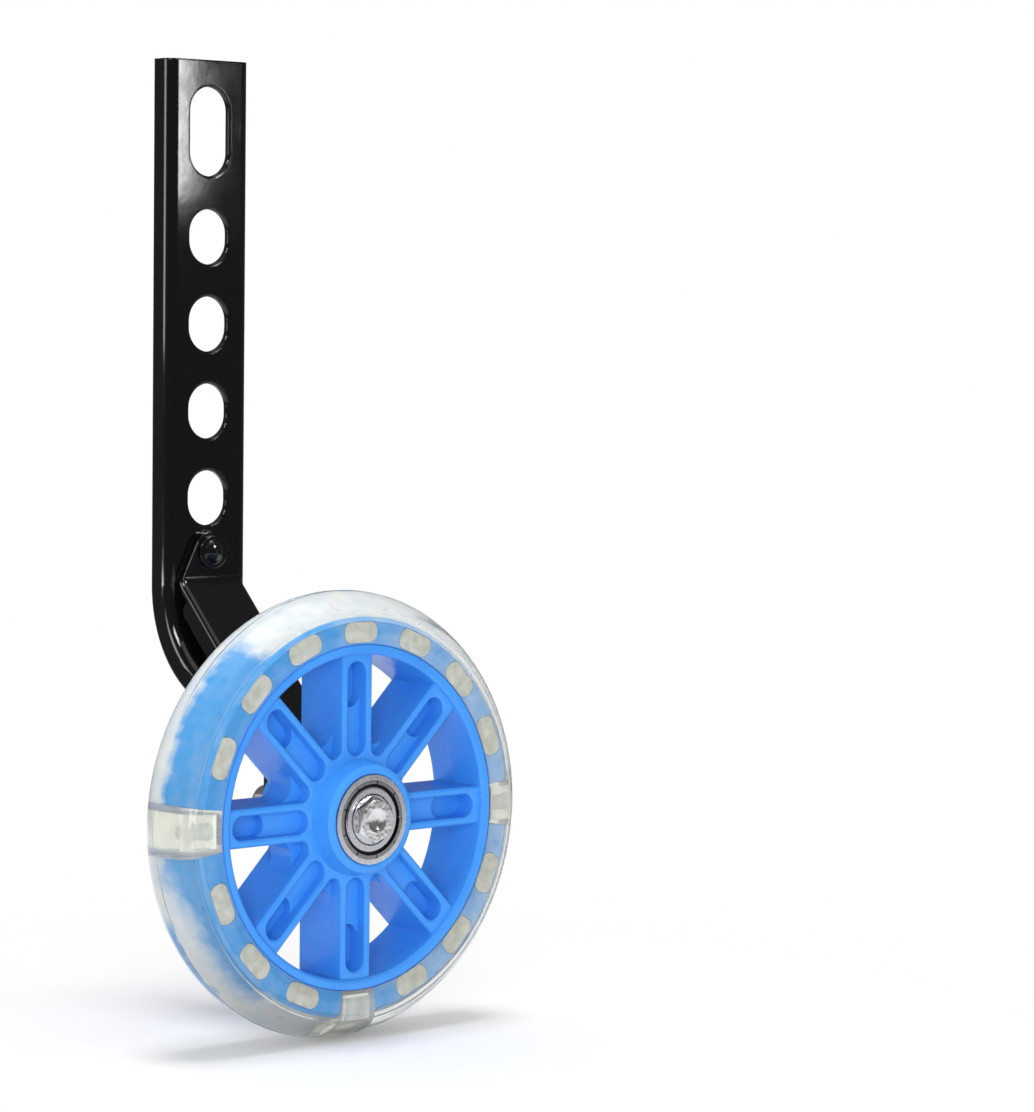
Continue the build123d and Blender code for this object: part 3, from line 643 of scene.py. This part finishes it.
# %% Plugs copied round the axle
plugs = []
for i in range(WINDOW_COUNT):
    angle = 360 / WINDOW_COUNT * i
    if angle in MODULE_ANGLES:
        continue
    copy = plug.copy()
    copy.data = plug.data.copy()
    bpy.context.collection.objects.link(copy)
    about_axle = Matrix.Rotation(math.radians(90 - angle), 4, "Y")
    copy.data.transform(Matrix.Translation(axle) @ about_axle @ Matrix.Translation(-axle))
    plugs.append(copy)
bpy.data.objects.remove(plug)
bpy.ops.object.select_all(action="DESELECT")
for copy in plugs:
    copy.select_set(True)
tyre.select_set(True)
bpy.context.view_layer.objects.active = tyre
bpy.ops.object.join()
print("plugs:", len(plugs), "faces in the tyre:", len(tyre.data.polygons))

# %% [markdown]
# Three flash modules sit on the rim inside the tyre. Each is a milky housing with a small board, a coil
# that the magnet on the axle wakes as it passes, and a lamp. The housing lets most light through, so
# that its inside shows faintly. A coil stands on its board and points away from the axle, so its turns
# of wire lie at even distances from the axle. Modelled wire would be finer than the picture, so a
# pattern of circles draws it.

# %% Flash modules
milky, tree, shader = new_finish("milky_housing", IOR=1.46, Transmission_Weight=0.74, Roughness=0.04)
two_tone(tree, shader, mottle(tree, 3), (0.91, 0.91, 0.86), (0.96, 0.955, 0.90))
let_light_in(tree, shader, (0.94, 0.94, 0.90))
laminate, tree, shader = new_finish("board_laminate", Roughness=0.6)
two_tone(tree, shader, mottle(tree, 0.4), (0.81, 0.815, 0.76), (0.88, 0.88, 0.83))
ferrite, tree, shader = new_finish("coil_grey", Metallic=0.2, Roughness=0.4)
turns = spread(tree, ring_grain(tree, 0.25), 0.4, 0.6, 0, 1)
two_tone(tree, shader, turns, (0.22, 0.25, 0.28), (0.38, 0.41, 0.44))
add_bump(tree, shader, turns, 0.05)
lens, tree, shader = new_finish("lamp_lens", Roughness=0.15)
two_tone(tree, shader, mottle(tree, 1.0), (0.86, 0.86, 0.84), (0.95, 0.95, 0.93))
for finish, kind in ((milky, "housing"), (laminate, "board"), (ferrite, "coil"), (lens, "lamp")):
    dress(finish, *[f"flash_{kind}_{place}" for place in ("left", "right", "bottom")])

# %% [markdown]
# Bearing steel is ground, so its faces carry fine circles about the axle. An anisotropic shader would
# stretch the highlights, but show no lines. A noise that reads the distance from the axle, many times
# finer than the ring itself, draws them for every race, shield and clip. A painted shade blackens the
# step of each shield, where its groove lies in shadow.

# %% Ground and pressed steel
# The black of the painted shade in the groove of each shield's step.
GROOVE_SHADE_BLACK = (0.02, 0.02, 0.022)
GROOVE_SHADE_EDGE_MM = 0.1


def turned_metal(name, dark, light, rough, grain_mm, groove_shade=(0, 0)):
    """Metal with circles of turning or grinding about the axle, and painted shade between two radii in mm.
    """
    finish, tree, shader = new_finish(name, Metallic=1.0)
    grain = spread(tree, ring_grain(tree, grain_mm), *NOISE_RANGE, 0, 1)
    radius = wheel_radius(tree)
    start, end = ([(limit - GROOVE_SHADE_EDGE_MM) * MM, (limit + GROOVE_SHADE_EDGE_MM) * MM] for limit in groove_shade)
    # Painted shade: black between two radii, where a groove lies in shadow.
    painted_groove_shade = combine(tree, "MULTIPLY", spread(tree, radius, *start, 0, 1), spread(tree, radius, *end, 1, 0))
    metal = mix_colours(tree, grain, dark, light)
    tree.links.new(mix_colours(tree, painted_groove_shade, metal, GROOVE_SHADE_BLACK), shader.inputs["Base Color"])
    vary_gloss(tree, shader, 1.2, *rough)
    add_bump(tree, shader, grain, 0.0015, round_edges(tree, 0.15))
    return finish


race_steel = turned_metal("ground_race_steel", (0.60, 0.61, 0.66), (0.80, 0.81, 0.86), (0.16, 0.30), 0.10)
# The shields get the painted shade in the groove of their step, 7.85 to 9.0 mm from the axle.
shield_steel = turned_metal(
    "pressed_shield_steel", (0.68, 0.685, 0.73), (0.80, 0.805, 0.85), (0.24, 0.38), 0.20, groove_shade=(7.85, 9.0)
)
clip_steel = turned_metal("spring_clip_steel", (0.24, 0.24, 0.25), (0.42, 0.42, 0.43), (0.25, 0.40), 0.15)
bearings = ("outboard", "inboard")
faces = ("front", "rear")
race_kinds = ("inner_race", "outer_race", "balls")
dress(race_steel, *[f"{bearing}_{kind}" for bearing in bearings for kind in race_kinds])
dress(shield_steel, *[f"{bearing}_{face}_shield" for bearing in bearings for face in faces])
dress(clip_steel, *[f"{bearing}_{face}_clip" for bearing in bearings for face in faces])

# %% [markdown]
# The bolt, nut, washer and spacer are zinc plated: bright, slightly blue, and faintly cloudy. The end
# of the bolt that passes the nut shows its thread. A modelled helix would need thousands of faces for a
# few millimetres, so a wave along the axle raises the ridges there, and only there. The sleeve between
# the bearings is a plain turned alloy with the same kind of finish.

# %% Zinc plate and alloy
THREAD_PITCH = 1.25 * MM
THREAD_DEPTH_MM = 0.15
THREAD_START = 0.1 * MM


def thread_ridges(tree, start):
    """A wave along the axle that rises and falls once for each turn of the thread, from a place on."""
    along = place_along(tree, "Y")
    ridge = tree.nodes.new("ShaderNodeMath")
    ridge.operation = "SINE"
    tree.links.new(combine(tree, "MULTIPLY", along, 2 * math.pi / THREAD_PITCH), ridge.inputs[0])
    threaded = spread(tree, along, start, start + THREAD_START, 0, 1)
    return combine(tree, "MULTIPLY", ridge.outputs[0], threaded)


def plated(name, dark, light, rough, thread_from=None):
    """Bright plating with a slow cloudiness, and with a fine frosting or a thread from a place on."""
    finish, tree, shader = new_finish(name, Metallic=1.0)
    two_tone(tree, shader, mottle(tree, 2.5), dark, light)
    vary_gloss(tree, shader, 0.6, *rough)
    if thread_from is None:
        add_bump(tree, shader, add_noise(tree, 0.35), 0.003, round_edges(tree, 0.25))
        return finish
    waves = mottle(tree, 1.8, 0, 0.25, 1.0)
    ridges = combine(tree, "ADD", thread_ridges(tree, thread_from), waves)
    add_bump(tree, shader, ridges, THREAD_DEPTH_MM, round_edges(tree, 0.25))
    return finish


ZINC_DARK, ZINC_LIGHT, ZINC_ROUGH = (0.70, 0.70, 0.72), (0.82, 0.82, 0.83), (0.12, 0.28)
nut_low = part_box("lock_nut")[0]
zinc = plated("bright_zinc", ZINC_DARK, ZINC_LIGHT, ZINC_ROUGH)
bolt_zinc = plated("threaded_zinc", ZINC_DARK, ZINC_LIGHT, ZINC_ROUGH, thread_from=nut_low.y)
alloy = plated("turned_alloy", (0.66, 0.67, 0.68), (0.76, 0.77, 0.78), (0.25, 0.40))
dress(zinc, "lock_nut", "nut_washer", "wheel_spacer")
dress(bolt_zinc, "axle_bolt")
dress(alloy, "axle_sleeve")

# %% [markdown]
# Two finishes are left. The magnet is pressed from powder and looks like dark, crumbly stone. The nut's
# insert and the ball cages are natural nylon, a cloudy cream. Both hardly show, so two tones in a noise
# of the right size are enough.

# %% Magnet and nylon
magnet, tree, shader = new_finish("sintered_magnet", Roughness=0.7)
two_tone(tree, shader, mottle(tree, 0.6), (0.035, 0.035, 0.04), (0.08, 0.08, 0.085))
dress(magnet, "ring_magnet")
nylon, tree, shader = new_finish("natural_nylon", Roughness=0.45)
two_tone(tree, shader, mottle(tree, 2.0), (0.74, 0.73, 0.66), (0.84, 0.83, 0.77))
dress(nylon, "nut_insert", "outboard_cage", "inboard_cage")
